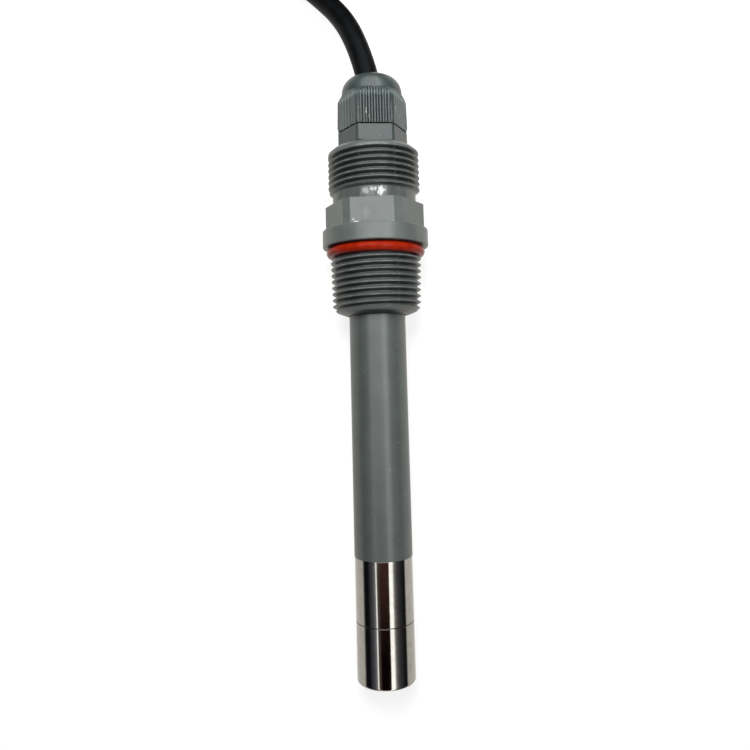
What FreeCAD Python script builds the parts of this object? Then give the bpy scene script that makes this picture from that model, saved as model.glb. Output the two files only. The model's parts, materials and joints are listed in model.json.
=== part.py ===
import FreeCAD, Part
import os
from math import atan, ceil, cos, degrees, hypot, pi, radians, sin, sqrt, tan

# Optical dissolved oxygen sensor with a moulded pipe fitting, a cable gland and 5 m of cable.
# Millimetres. Pieces are drawn upright on their common axis, sensing face at height 0 and the
# cable above, and are then laid down: the sensor rests on its flange and on the rim of its cap.
# The cable and what is on it are drawn where they lie.

V = FreeCAD.Vector

# Sensing cap and steel barrel
STEEL_OD = 16.1
CAP_LENGTH = 15.6
CAP_EDGE = 0.5
CAP_LIP = 0.8
CAP_APERTURE = 8.4
CAP_THREAD_BORE = 13.5
CAP_SEAM = 0.2
BARREL_LENGTH = 17.0
BARREL_BORE = 10.2
REAR_SPIGOT_LENGTH = 10.0
FOIL_THICKNESS = 0.3
WINDOW_THICKNESS = 2.0
WINDOW_OD = 11.9
GASKET_THICKNESS = 0.75
GASKET_BORE = 9.2
SEAL_SECTION = 1.2
SEAL_SQUEEZE = 0.3
CAP_SEAL_INSET = 2.2
TUBE_SEAL_INSET = 4.5

# Optics and electronics
HOLDER_LENGTH = 14.0
HOLDER_GAP = 0.3
LIGHT_GUIDE_OD = 4.0
LIGHT_GUIDE_LENGTH = 8.0
FILTER_OD = 5.0
FILTER_THICKNESS = 0.9
LED_OD = 1.9
LED_LENGTH = 8.5
LED_OFFSET = 3.6
BEAD_OD = 1.6
BEAD_LENGTH = 5.0
LEAD_OD = 0.5
LEAD_SPACING = 0.9
OPTICS_BOARD_OD = 10.0
BOARD_THICKNESS = 1.2
CONNECTOR_SIZE = (6.0, 2.5, 5.0)
MAIN_BOARD_WIDTH = 9.6
MAIN_BOARD_LENGTH = 92.0
MAIN_BOARD_GAP = 0.5
CONTROLLER_SIZE = (7.0, 1.0, 7.0)
TRANSCEIVER_SIZE = (5.0, 1.5, 4.0)
REGULATOR_SIZE = (6.0, 1.6, 4.5)
CONTROLLER_SHARE = 0.45
TRANSCEIVER_SHARE = 0.65
REGULATOR_SHARE = 0.8
CHIPS_SHARE = 0.42
CHIP_SIZE = (1.6, 0.8, 0.9)
CHIP_ROWS = 7
CHIP_PITCH = 6.0
CHIP_OFFSET = 3.2
BOARD_CORE_OFFSET = 1.4

# Body tube
TUBE_OD = 16.3
TUBE_WALL = 1.6
TUBE_SHOWN = 67.2
TUBE_IN_FITTING = 30.0
TUBE_SPIGOT_OD = 15.6

# Pipe fitting, a three quarter inch tapered thread below and a parallel one above
PITCH = 25.4 / 14
THREAD_DEPTH = 1.15
THREAD_FLAT = 0.25
THREAD_OVERCUT = 0.1
LOWER_THREAD_OD = 26.67
LOWER_THREAD_LENGTH = 17.1
LOWER_FIRST_CREST = 1.74
THREAD_TAPER = 1 / 16
END_FACE_BORE_EDGE = 17.2
END_FACE_OD = 23.2
END_FACE_SLOPE = 1.1
END_CHAMFER = 2.4
SEAT_OD = 22.9
FLANGE_OD = 31.1
FLANGE_THICKNESS = 5.0
FLANGE_EDGE = 0.4
FITTING_HEX = 26.4
FITTING_HEX_CORNERS = 29.14
FITTING_HEX_LENGTH = 7.5
NECK_OD = 24.6
NECK_LENGTH = 3.4
UPPER_THREAD_OD = 27.2
UPPER_THREAD_LENGTH = 13.5
UPPER_FIRST_CREST = 0.92
RIM_OD = 24.4
RIM_CHAMFER = 1.3
PLAIN_RIM = 3.0
CABLE_ROOM_OD = 13.2
FITTING_TURN = -3.2
O_RING_SECTION = 2.95

# Cable gland
GLAND_THREAD_OD = 15.2
GLAND_SPIGOT_LENGTH = 8.0
GLAND_GASKET_OD = 18.0
GLAND_GASKET_THICKNESS = 0.8
GLAND_HEX = 18.4
GLAND_HEX_CORNERS = 20.8
GLAND_HEX_LENGTH = 4.9
GLAND_TURN = 5.2
NUT_THREAD_OD = 15.6
NUT_THREAD_LENGTH = 5.8
SOCKET_OD = 13.2
SOCKET_FLOOR = 2.0
CAGE_WALL = 1.2
CAGE_LENGTH = 10.6
CAGE_LIFT = 0.5
CLAWS = 8
CLAW_SLOT = 0.8
CLAW_LENGTH = 7.0
CLAW_TIP = 1.8
SEAL_LENGTH = 7.3
NUT_GAP = 0.3
NUT_FLATS = 18.6
NUT_CORNERS = 21.2
NUT_RIB_PITCH = 0.81
NUT_RIBS = 13
NUT_RIB_DEPTH = 0.3
NUT_GROOVE_WIDTH = 0.46
NUT_SHOULDER = 9.2
NUT_SHOULDER_OD = 20.8
NUT_CONE = 1.9
DOME_OD = 18.26
DOME_SKIRT = 0.8
DOME_ROUND = 5.0
MOUTH_OD = 11.8

# Fits, on the radius
GLUED_FIT = 0.05
RUNNING_FIT = 0.05
THREAD_FIT = 0.07
SLIDING_FIT = 0.1
FACE_FIT = 0.05

# Cable, its stored hank and its stripped end
CABLE_OD = 7.0
ENTRY_DEPTH = 19.45
ENTRY_LENGTH = 22.5
BEND_SHARE = 0.45
HANK_INNER_RADIUS = 3 * CABLE_OD - CABLE_OD / 2
HANK_COLUMNS = 3
HANK_LAYERS = 6
HANK_LEG = 56.0
HANK_START = 131.0
HANK_EDGE = 2.6
TIE_WIDTH = 4.8
TIE_THICKNESS = 1.2
TIE_LOCK = (4.2, 6.0, 5.4)
TIE_SHARE = 0.5
TAIL_LENGTH = 38.0
SLEEVE_OD = 7.7
SLEEVE_LENGTH = 24.0
SLEEVE_OVERLAP = 1.0
CORE_OD = 1.5
CORE_LENGTH = 16.0
CORE_SPACING = 2.2
FERRULE_OD = 1.9
FERRULE_COLLAR = 2.4
FERRULE_PIN_OD = 1.0
FERRULE_LENGTH = 7.0
CORE_NAMES = ("brown", "blue", "black", "yellow")

# Heights along the upright sensor
HEAD_SHOULDER = CAP_LENGTH + CAP_SEAM
TUBE_START = HEAD_SHOULDER + BARREL_LENGTH
FITTING_START = TUBE_START + TUBE_SHOWN
TUBE_END = FITTING_START + TUBE_IN_FITTING
SEAT_START = FITTING_START + LOWER_THREAD_LENGTH
FLANGE_START = SEAT_START + O_RING_SECTION + FACE_FIT
HEX_START = FLANGE_START + FLANGE_THICKNESS
NECK_START = HEX_START + FITTING_HEX_LENGTH
UPPER_THREAD_START = NECK_START + NECK_LENGTH
FITTING_END = UPPER_THREAD_START + UPPER_THREAD_LENGTH
SPIGOT_START = FITTING_END - GLAND_SPIGOT_LENGTH
GLAND_HEX_START = FITTING_END + GLAND_GASKET_THICKNESS
GLAND_HEX_END = GLAND_HEX_START + GLAND_HEX_LENGTH
SOCKET_START = GLAND_HEX_START + SOCKET_FLOOR
NUT_THREAD_END = GLAND_HEX_END + NUT_THREAD_LENGTH
NUT_START = GLAND_HEX_END + NUT_GAP
CAGE_START = SOCKET_START + CAGE_LIFT
CAGE_END = CAGE_START + CAGE_LENGTH
CONE_START = NUT_START + NUT_SHOULDER
DOME_START = CONE_START + NUT_CONE
DOME_CENTRE = DOME_START + DOME_SKIRT
WINDOW_START = CAP_LIP + FOIL_THICKNESS
GASKET_START = WINDOW_START + WINDOW_THICKNESS
SPIGOT_TIP = GASKET_START + GASKET_THICKNESS + 2 * FACE_FIT
HOLDER_START = SPIGOT_TIP + HOLDER_GAP
HOLDER_END = HOLDER_START + HOLDER_LENGTH
OPTICS_BOARD_END = HOLDER_END + BOARD_THICKNESS
MAIN_BOARD_START = OPTICS_BOARD_END + MAIN_BOARD_GAP
MAIN_BOARD_END = MAIN_BOARD_START + MAIN_BOARD_LENGTH
ENTRY_START = SOCKET_START - ENTRY_DEPTH
ENTRY_END = ENTRY_START + ENTRY_LENGTH
CAP_SEAL_HEIGHT = HEAD_SHOULDER - CAP_SEAL_INSET
TUBE_SEAL_HEIGHT = TUBE_START + TUBE_SEAL_INSET

# Radii that several pieces share
STEEL_R = STEEL_OD / 2
TUBE_BORE_R = TUBE_OD / 2 - TUBE_WALL
CAP_BORE_R = CAP_THREAD_BORE / 2
FRONT_SPIGOT_R = CAP_BORE_R - RUNNING_FIT
REAR_SPIGOT_R = TUBE_BORE_R - GLUED_FIT
HOLDER_R = BARREL_BORE / 2 - GLUED_FIT
CABLE_R = CABLE_OD / 2
CABLE_ROOM_R = CABLE_ROOM_OD / 2
SOCKET_R = SOCKET_OD / 2
CAGE_R = SOCKET_R - SLIDING_FIT
CAGE_BORE_R = CAGE_R - CAGE_WALL
SEAL_R = CAGE_BORE_R - SLIDING_FIT
DOME_R = DOME_OD / 2
MOUTH_R = MOUTH_OD / 2
DOME_RISE = sqrt(DOME_ROUND ** 2 - (MOUTH_R - DOME_R + DOME_ROUND) ** 2)
DOME_END = DOME_CENTRE + DOME_RISE
BOARD_FACE = BOARD_THICKNESS / 2

# The lying pose: the front edge of the cap and the front edge of the flange both touch the table
FLANGE_CORNER = FLANGE_START + FLANGE_EDGE
LEAN = atan((FLANGE_OD / 2 - STEEL_R) / (FLANGE_CORNER - CAP_EDGE))
AXIS_HEIGHT = STEEL_R * cos(LEAN) - CAP_EDGE * sin(LEAN)
FRONT_REACH = -(STEEL_R - CAP_EDGE) * sin(LEAN)
REAR_REACH = DOME_END * cos(LEAN) + MOUTH_R * sin(LEAN)
AXIS_SHIFT = -(FRONT_REACH + REAR_REACH) / 2

# The cable's route from the gland to the hank, as points on the table's axes
ROUTE = [
    (0.0, 81.6, 18.47),
    (-2.8, 94.4, 18.5),
    (-7.7, 108.8, 14.3),
    (-16.4, 121.4, 8.6),
    (-27.4, 133.2, 4.6),
    (-34.2, 148.0, 3.5),
    (-35.0, 161.5, 3.5),
]

pieces = {}


def revolve(points):
    """A solid of revolution from (radius, height) corners; a third value is the bulge of an arc."""
    edges = []
    for here, there in zip(points, points[1:] + points[:1]):
        a = V(here[0], 0, here[1])
        b = V(there[0], 0, there[1])
        if len(here) == 2:
            edges.append(Part.LineSegment(a, b).toShape())
            continue
        chord = b - a
        side = V(chord.z, 0, -chord.x).normalize()
        edges.append(Part.Arc(a, (a + b) * 0.5 + side * here[2], b).toShape())
    face = Part.Face(Part.Wire(edges))
    return face.revolve(V(0, 0, 0), V(0, 0, 1), 360)


def disc(radius, low, high, x=0.0, y=0.0):
    return Part.makeCylinder(radius, high - low, V(x, y, low))


def ring(inner, outer, low, high):
    return disc(outer, low, high).cut(disc(inner, low, high))


def block(size, x, y, low):
    """A box centred on x, with its y side nearest the axis at y and its foot at low."""
    across, out, tall = size
    start = y if y > 0 else y - out
    return Part.makeBox(across, out, tall, V(x - across / 2, start, low))


def prism(points, low, high):
    wire = Part.makePolygon([V(x, y, low) for x, y in points + points[:1]])
    return Part.Face(wire).extrude(V(0, 0, high - low))


def turned(x, y, angle):
    a = radians(angle)
    return (x * cos(a) - y * sin(a), x * sin(a) + y * cos(a))


def hexagon(flats, corners, turn):
    """The outline of a hexagon whose corners are cut flat, one side facing the front."""
    half = sqrt((corners / 2) ** 2 - (flats / 2) ** 2)
    points = []
    for side in range(6):
        angle = 60 * side + turn
        points.append(turned(-half, -flats / 2, angle))
        points.append(turned(half, -flats / 2, angle))
    return points


def ribbed_hexagon(turn):
    """The nut's outline: a hexagon with a row of fine upright grooves in each side."""
    half = sqrt((NUT_CORNERS / 2) ** 2 - (NUT_FLATS / 2) ** 2)
    face = NUT_FLATS / 2
    points = []
    for side in range(6):
        angle = 60 * side + turn
        points.append(turned(-half, -face, angle))
        for rib in range(NUT_RIBS - 1):
            x = (rib - (NUT_RIBS - 2) / 2) * NUT_RIB_PITCH
            points.append(turned(x - NUT_GROOVE_WIDTH / 2, -face, angle))
            points.append(turned(x, -face + NUT_RIB_DEPTH, angle))
            points.append(turned(x + NUT_GROOVE_WIDTH / 2, -face, angle))
        points.append(turned(half, -face, angle))
    return points


def torus(section, middle_radius, height):
    return Part.makeTorus(middle_radius, section / 2, V(0, 0, height))


def thread_groove(radius, low, high, crest, taper=0.0):
    """The winding groove of a right-handed thread whose crests have this radius at low, and
    of which one crest crosses the x axis at the height crest."""
    turns_below = ceil((crest - low) / PITCH) + 1
    start = crest - PITCH * (turns_below - 0.5)
    root = radius - THREAD_DEPTH + (start - low) * taper
    outer = root + THREAD_DEPTH + THREAD_OVERCUT
    half_root = THREAD_FLAT / 2
    half_top = half_root + (PITCH / 2 - THREAD_FLAT) * (outer - root) / THREAD_DEPTH
    beyond = outer + THREAD_DEPTH
    corners = [
        V(root, 0, start - half_root), V(root, 0, start + half_root), V(outer, 0, start + half_top),
        V(beyond, 0, start + half_top), V(beyond, 0, start - half_top), V(outer, 0, start - half_top),
    ]
    section = Part.makePolygon(corners + corners[:1])
    rise = PITCH / 4
    along = 1 / cos(atan(taper))
    path = []
    for quarter in range(ceil((high + PITCH / 2 - start) / rise)):
        radius_here = root + quarter * rise * taper
        arc = Part.makeHelix(PITCH * along, rise * along, radius_here, degrees(atan(taper)))
        arc.rotate(V(0, 0, 0), V(0, 0, 1), 90 * quarter)
        arc.translate(V(0, 0, start + quarter * rise))
        path += arc.Edges
    return Part.Wire(path).makePipeShell([section], True, True)


def lay_down(shape):
    """Tips an upright piece into the sensor's lying pose."""
    tip = FreeCAD.Rotation(V(1, 0, 0), -(90 - degrees(LEAN)))
    shape = shape.copy()
    shape.Placement = FreeCAD.Placement(V(0, AXIS_SHIFT, AXIS_HEIGHT), tip).multiply(shape.Placement)
    return shape


def on_axis(height):
    """Where a height on the upright axis comes to lie."""
    return V(0, AXIS_SHIFT + height * cos(LEAN), AXIS_HEIGHT + height * sin(LEAN))


# Sensing cap and its parts

def sensing_cap():
    window_r = WINDOW_OD / 2 + GLUED_FIT
    return revolve([
        (CAP_APERTURE / 2, 0), (STEEL_R - CAP_EDGE, 0), (STEEL_R, CAP_EDGE),
        (STEEL_R, CAP_LENGTH), (CAP_BORE_R, CAP_LENGTH), (CAP_BORE_R, GASKET_START),
        (window_r, GASKET_START), (window_r, CAP_LIP), (CAP_APERTURE / 2, CAP_LIP),
    ])


def sensing_foil():
    return disc(WINDOW_OD / 2, CAP_LIP, WINDOW_START)


def optical_window():
    return disc(WINDOW_OD / 2, WINDOW_START, GASKET_START)


def cap_gasket():
    low = GASKET_START + FACE_FIT
    return ring(GASKET_BORE / 2, CAP_BORE_R - SLIDING_FIT, low, low + GASKET_THICKNESS)


# Steel barrel

def groove(radius, height):
    """The groove that an O-ring of the seal section sits in."""
    half = SEAL_SECTION / 2
    floor = radius - SEAL_SECTION + SEAL_SQUEEZE - 2 * FACE_FIT
    return ring(floor, radius + SEAL_SQUEEZE, height - half, height + half)


def seal_in_groove(radius, height):
    section = SEAL_SECTION - SEAL_SQUEEZE
    return torus(section, radius - section / 2 - FACE_FIT, height)


def probe_head():
    bore = BARREL_BORE / 2
    rear_end = TUBE_START + REAR_SPIGOT_LENGTH
    body = revolve([
        (bore, SPIGOT_TIP), (FRONT_SPIGOT_R, SPIGOT_TIP), (FRONT_SPIGOT_R, HEAD_SHOULDER),
        (STEEL_R, HEAD_SHOULDER), (STEEL_R, TUBE_START), (REAR_SPIGOT_R, TUBE_START),
        (REAR_SPIGOT_R, rear_end), (bore, rear_end),
    ])
    body = body.cut(groove(FRONT_SPIGOT_R, CAP_SEAL_HEIGHT))
    return body.cut(groove(REAR_SPIGOT_R, TUBE_SEAL_HEIGHT))


# Optics

def optics_holder():
    guide_r = LIGHT_GUIDE_OD / 2 + GLUED_FIT
    filter_r = FILTER_OD / 2 + GLUED_FIT
    pocket = HOLDER_START + LIGHT_GUIDE_LENGTH
    body = disc(HOLDER_R, HOLDER_START, HOLDER_END)
    body = body.cut(disc(guide_r, HOLDER_START, pocket))
    body = body.cut(disc(filter_r, pocket, HOLDER_END))
    for x in (-LED_OFFSET, LED_OFFSET):
        body = body.cut(disc(LED_OD / 2 + GLUED_FIT, HOLDER_START, HOLDER_END, x))
    bead_floor = HOLDER_START + 2 * BEAD_OD
    return body.cut(disc(BEAD_OD / 2 + GLUED_FIT, bead_floor, HOLDER_END, 0, LED_OFFSET))


def light_guide():
    return disc(LIGHT_GUIDE_OD / 2, HOLDER_START, HOLDER_START + LIGHT_GUIDE_LENGTH)


def optical_filter():
    low = HOLDER_START + LIGHT_GUIDE_LENGTH
    return disc(FILTER_OD / 2, low, low + FILTER_THICKNESS)


def photodiode():
    low = HOLDER_START + LIGHT_GUIDE_LENGTH + FILTER_THICKNESS
    can = disc(FILTER_OD / 2, low, HOLDER_END)
    rim = ring(FILTER_OD / 2 - SEAL_SQUEEZE, FILTER_OD / 2, low, (low + HOLDER_END) / 2)
    return can.cut(rim)


def led(x):
    """A small round-nosed light that stands on the optics board."""
    radius = LED_OD / 2
    nose = HOLDER_END - LED_LENGTH
    body = disc(radius, nose + radius, HOLDER_END, x)
    return body.fuse(Part.makeSphere(radius, V(x, 0, nose + radius))).removeSplitter()


def temperature_sensor():
    """A thermistor bead near the steel wall, with its two leads to the optics board."""
    low = HOLDER_START + 2 * BEAD_OD + FACE_FIT
    body = disc(BEAD_OD / 2, low, low + BEAD_LENGTH, 0, LED_OFFSET)
    for x in (-LEAD_SPACING / 2, LEAD_SPACING / 2):
        body = body.fuse(disc(LEAD_OD / 2, low + BEAD_LENGTH / 2, HOLDER_END, x, LED_OFFSET))
    return body.removeSplitter()


# Electronics

def main_board():
    size = (MAIN_BOARD_WIDTH, BOARD_THICKNESS, MAIN_BOARD_LENGTH)
    return Part.makeBox(*size, V(-MAIN_BOARD_WIDTH / 2, -BOARD_FACE, MAIN_BOARD_START))


def on_board(size, share, side):
    """A component on the board: side -1 is the front face, side 1 the back one."""
    low = MAIN_BOARD_START + share * MAIN_BOARD_LENGTH
    return block(size, 0, side * BOARD_FACE, low)


def board_components():
    """Two rows of small chips along the back of the board."""
    first = MAIN_BOARD_START + CHIPS_SHARE * MAIN_BOARD_LENGTH
    chips = []
    for row in range(CHIP_ROWS):
        for x in (-CHIP_OFFSET, CHIP_OFFSET):
            chips.append(block(CHIP_SIZE, x, BOARD_FACE, first + row * CHIP_PITCH))
    return Part.makeCompound(chips)


def inner_cores():
    """The four cores from the cable's end to the board, two on each face."""
    radius = CORE_OD / 2 - FACE_FIT
    low = MAIN_BOARD_END - CHIP_PITCH
    out = BOARD_FACE + radius + FACE_FIT / 2
    cores = []
    for x in (-BOARD_CORE_OFFSET, BOARD_CORE_OFFSET):
        for y in (-out, out):
            cores.append(disc(radius, low, ENTRY_START, x, y))
    return Part.makeCompound(cores)


def potting_plug():
    low = TUBE_END + GLUED_FIT
    return ring(CABLE_R + GLUED_FIT, CABLE_ROOM_R - GLUED_FIT, low, SPIGOT_START - FACE_FIT)


# Body tube and pipe fitting

def sensor_tube():
    """The tube, stepped down where it is glued into the fitting."""
    spigot = TUBE_SPIGOT_OD / 2
    return revolve([
        (TUBE_BORE_R, TUBE_START), (TUBE_OD / 2, TUBE_START), (TUBE_OD / 2, FITTING_START),
        (spigot, FITTING_START), (spigot, TUBE_END), (TUBE_BORE_R, TUBE_END),
    ])


def threaded_fitting():
    """One moulding: tapered thread, seal seat, flange, hexagon, neck and upper thread."""
    big = LOWER_THREAD_OD / 2
    end = big - LOWER_THREAD_LENGTH * THREAD_TAPER / 2
    flange = FLANGE_OD / 2
    upper = UPPER_THREAD_OD / 2
    flank = PITCH / 2
    below = revolve([
        (0, FITTING_START), (END_FACE_BORE_EDGE / 2, FITTING_START),
        (END_FACE_OD / 2, FITTING_START + END_FACE_SLOPE),
        (end + END_CHAMFER * THREAD_TAPER / 2, FITTING_START + END_CHAMFER),
        (big, SEAT_START - flank), (SEAT_OD / 2, SEAT_START), (SEAT_OD / 2, FLANGE_START),
        (flange - FLANGE_EDGE, FLANGE_START), (flange, FLANGE_START + FLANGE_EDGE),
        (flange, HEX_START - FLANGE_EDGE), (flange - FLANGE_EDGE, HEX_START), (0, HEX_START),
    ])
    below = below.cut(thread_groove(
        end, FITTING_START, SEAT_START, FITTING_START + LOWER_FIRST_CREST, THREAD_TAPER / 2))
    above = revolve([
        (0, NECK_START), (NECK_OD / 2, NECK_START), (NECK_OD / 2, UPPER_THREAD_START),
        (upper, UPPER_THREAD_START + flank), (upper, FITTING_END - RIM_CHAMFER),
        (RIM_OD / 2, FITTING_END), (0, FITTING_END),
    ])
    above = above.cut(thread_groove(
        upper, UPPER_THREAD_START, FITTING_END - PLAIN_RIM, UPPER_THREAD_START + UPPER_FIRST_CREST))
    outline = hexagon(FITTING_HEX, FITTING_HEX_CORNERS, FITTING_TURN)
    body = below.fuse([prism(outline, HEX_START, NECK_START), above])
    body = body.cut(disc(TUBE_SPIGOT_OD / 2 + GLUED_FIT, FITTING_START, TUBE_END))
    body = body.cut(disc(CABLE_ROOM_R, TUBE_END, SPIGOT_START))
    body = body.cut(disc(GLAND_THREAD_OD / 2, SPIGOT_START, FITTING_END))
    return body.removeSplitter()


def flange_o_ring():
    middle = SEAT_OD / 2 + FACE_FIT + O_RING_SECTION / 2
    return torus(O_RING_SECTION, middle, FLANGE_START - O_RING_SECTION / 2)


# Cable gland

def gland_gasket():
    return ring(GLAND_THREAD_OD / 2 + FACE_FIT, GLAND_GASKET_OD / 2, FITTING_END, GLAND_HEX_START)


def gland_body():
    spigot = disc(GLAND_THREAD_OD / 2 - GLUED_FIT, SPIGOT_START, GLAND_HEX_START)
    outline = hexagon(GLAND_HEX, GLAND_HEX_CORNERS, GLAND_TURN)
    collar = disc(NUT_THREAD_OD / 2 - THREAD_FIT, GLAND_HEX_END, NUT_THREAD_END)
    body = spigot.fuse([prism(outline, GLAND_HEX_START, GLAND_HEX_END), collar])
    body = body.cut(disc(CABLE_R + GLUED_FIT, SPIGOT_START, SOCKET_START))
    body = body.cut(disc(SOCKET_R, SOCKET_START, NUT_THREAD_END))
    return body.removeSplitter()


def gland_clamp_cage():
    """The ring of springy claws that the nut presses onto the seal."""
    lip = SEAL_R - CAGE_WALL
    body = revolve([
        (CAGE_BORE_R, CAGE_START), (CAGE_R, CAGE_START), (CAGE_R, CAGE_END - CLAW_TIP),
        (CAGE_BORE_R, CAGE_END), (lip, CAGE_END), (lip, CAGE_END - CLAW_TIP / 2),
        (CAGE_BORE_R, CAGE_END - CLAW_TIP),
    ])
    for claw in range(CLAWS):
        slot = Part.makeBox(CAGE_R, CLAW_SLOT, CLAW_LENGTH, V(0, -CLAW_SLOT / 2, CAGE_END - CLAW_LENGTH))
        slot.rotate(V(0, 0, 0), V(0, 0, 1), 360 / CLAWS * claw)
        body = body.cut(slot)
    return body


def gland_seal():
    high = CAGE_START + SEAL_LENGTH
    return ring(CABLE_R + RUNNING_FIT, SEAL_R, CAGE_START, high)


def gland_nut():
    """The domed nut: ribbed hexagon, sloping shoulder, short skirt and rounded mouth."""
    corner = NUT_CORNERS / 2
    shoulder = NUT_SHOULDER_OD / 2
    chord = hypot(DOME_R - MOUTH_R, DOME_RISE)
    bulge = DOME_ROUND - sqrt(DOME_ROUND ** 2 - (chord / 2) ** 2)
    grip = prism(ribbed_hexagon(GLAND_TURN), NUT_START, DOME_START)
    envelope = revolve([
        (0, NUT_START), (corner, NUT_START), (shoulder, CONE_START), (DOME_R, DOME_START),
        (0, DOME_START),
    ])
    dome = revolve([
        (0, DOME_START), (DOME_R, DOME_START), (DOME_R, DOME_CENTRE, bulge),
        (MOUTH_R, DOME_END), (0, DOME_END),
    ])
    thread_r = NUT_THREAD_OD / 2
    step = CAGE_END - CLAW_TIP + FACE_FIT
    room = revolve([
        (0, NUT_START), (thread_r, NUT_START), (thread_r, step),
        (CAGE_R + SLIDING_FIT, step), (MOUTH_R, CAGE_END - SLIDING_FIT),
        (MOUTH_R, DOME_END), (0, DOME_END),
    ])
    return grip.common(envelope).fuse(dome).cut(room)


# Cable

def tube_along(points, radius):
    """A round tube on straight runs joined by tangent arcs, as large as the runs allow."""
    edges = []
    start = points[0]
    radii = []
    for before, corner, after in zip(points, points[1:], points[2:]):
        into = (corner - before)
        out = (after - corner)
        turn = into.getAngle(out)
        reach = BEND_SHARE * min(into.Length, out.Length)
        radii.append(reach / tan(turn / 2))
        into.normalize()
        out.normalize()
        first = corner - into * reach
        last = corner + out * reach
        inward = (out - into).normalize()
        middle = corner + inward * (radii[-1] / cos(turn / 2) - radii[-1])
        edges.append(Part.LineSegment(start, first).toShape())
        edges.append(Part.Arc(first, middle, last).toShape())
        start = last
    edges.append(Part.LineSegment(start, points[-1]).toShape())
    path = Part.Wire(edges)
    heading = (points[1] - points[0]).normalize()
    section = Part.Wire(Part.Circle(points[0], heading, radius).toShape())
    tube = path.makePipeShell([section], True, False)
    return tube, path.Length, radii


def cable_entry():
    return disc(CABLE_R, ENTRY_START, ENTRY_END)


def cable_run():
    points = [on_axis(ENTRY_END)] + [V(*p) for p in ROUTE]
    tube, length, radii = tube_along(points, CABLE_R)
    print("cable arcs, mm:", [round(r, 1) for r in radii])
    print("cable run, mm:", round(length, 1), "volume over section x length:",
          round(tube.Volume / (length * pi * CABLE_R ** 2), 5))
    return tube


HANK_WIDTH = HANK_COLUMNS * CABLE_OD
HANK_OUTER_RADIUS = HANK_INNER_RADIUS + HANK_WIDTH
HANK_HEIGHT = HANK_LAYERS * CABLE_OD
HANK_LEG_START = HANK_START + HANK_OUTER_RADIUS
LEG_MIDDLE = (HANK_INNER_RADIUS + HANK_OUTER_RADIUS) / 2


def racetrack(radius):
    """The upright prism on a racetrack outline of this end radius."""
    near = HANK_LEG_START
    far = near + HANK_LEG
    edges = [
        Part.LineSegment(V(-radius, near, 0), V(-radius, far, 0)).toShape(),
        Part.Arc(V(-radius, far, 0), V(0, far + radius, 0), V(radius, far, 0)).toShape(),
        Part.LineSegment(V(radius, far, 0), V(radius, near, 0)).toShape(),
        Part.Arc(V(radius, near, 0), V(0, near - radius, 0), V(-radius, near, 0)).toShape(),
    ]
    return Part.Face(Part.Wire(edges)).extrude(V(0, 0, HANK_HEIGHT))


def tie_place(side):
    """The middle of one tie, on the hank's left or right leg."""
    return V(side * LEG_MIDDLE, HANK_LEG_START + TIE_SHARE * HANK_LEG, 0)


def tie_envelope(side, shrink):
    at = tie_place(side)
    across = HANK_WIDTH + 2 * TIE_THICKNESS - 2 * shrink
    tall = HANK_HEIGHT + TIE_THICKNESS - 2 * shrink
    low = V(at.x - across / 2, at.y - TIE_WIDTH / 2, shrink)
    body = Part.makeBox(across, TIE_WIDTH, tall, low)
    edges = [e for e in body.Edges if abs(e.tangentAt(e.FirstParameter).y) > 0.9]
    return body.makeFillet(HANK_EDGE - shrink / 2, edges)


def hank_tie(side):
    """A cable tie round one leg, with its square lock on the side inside the hank."""
    at = tie_place(side)
    across, along, tall = TIE_LOCK
    middle = at.x - side * (HANK_WIDTH / 2 + across / 2)
    low = V(middle - across / 2, at.y - along / 2, (HANK_HEIGHT - tall) / 2)
    lock = Part.makeBox(across, along, tall, low)
    band = tie_envelope(side, 0).cut(tie_envelope(side, TIE_THICKNESS))
    return band.fuse(lock.cut(tie_envelope(side, TIE_THICKNESS))).removeSplitter()


def cable_hank():
    """The outer shape of the put-away turns: a racetrack with rounded edges."""
    outside = racetrack(HANK_OUTER_RADIUS)
    rims = [e for e in outside.Edges if abs(e.tangentAt(e.FirstParameter).z) < 0.5]
    body = outside.makeFillet(HANK_EDGE, rims).cut(racetrack(HANK_INNER_RADIUS))
    for side in (-1, 1):
        body = body.cut(tie_envelope(side, 0).cut(tie_envelope(side, TIE_THICKNESS)))
    return body.cut(pieces["cable_run"])


# The free end lies on top of the hank's left leg, over the tie

TAIL_X = -LEG_MIDDLE
END_HEIGHT = HANK_HEIGHT + TIE_THICKNESS + CABLE_R
TAIL_START = HANK_LEG_START
SLEEVE_START = TAIL_START + TAIL_LENGTH
SLEEVE_END = SLEEVE_START + SLEEVE_LENGTH


def along_y(radius, start, end, x=TAIL_X, z=END_HEIGHT):
    return Part.makeCylinder(radius, end - start, V(x, start, z), V(0, 1, 0))


def cable_tail():
    return along_y(CABLE_R, TAIL_START, SLEEVE_START + SLEEVE_OVERLAP)


def cable_end_sleeve():
    body = along_y(SLEEVE_OD / 2, SLEEVE_START, SLEEVE_END)
    return body.cut(along_y(CABLE_R + FACE_FIT, SLEEVE_START, SLEEVE_START + SLEEVE_OVERLAP))


def core_place(number):
    """The four cores stand in a square round the cable's middle."""
    x = TAIL_X + (CORE_SPACING / 2 if number % 2 else -CORE_SPACING / 2)
    z = END_HEIGHT + (CORE_SPACING / 2 if number > 1 else -CORE_SPACING / 2)
    return x, z


def end_core(number):
    return along_y(CORE_OD / 2, SLEEVE_END, SLEEVE_END + CORE_LENGTH, *core_place(number))


def end_ferrule(number):
    start = SLEEVE_END + CORE_LENGTH
    end = start + FERRULE_LENGTH
    collar = along_y(FERRULE_OD / 2, start, start + FERRULE_COLLAR, *core_place(number))
    return collar.fuse(along_y(FERRULE_PIN_OD / 2, start, end, *core_place(number))).removeSplitter()


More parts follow.
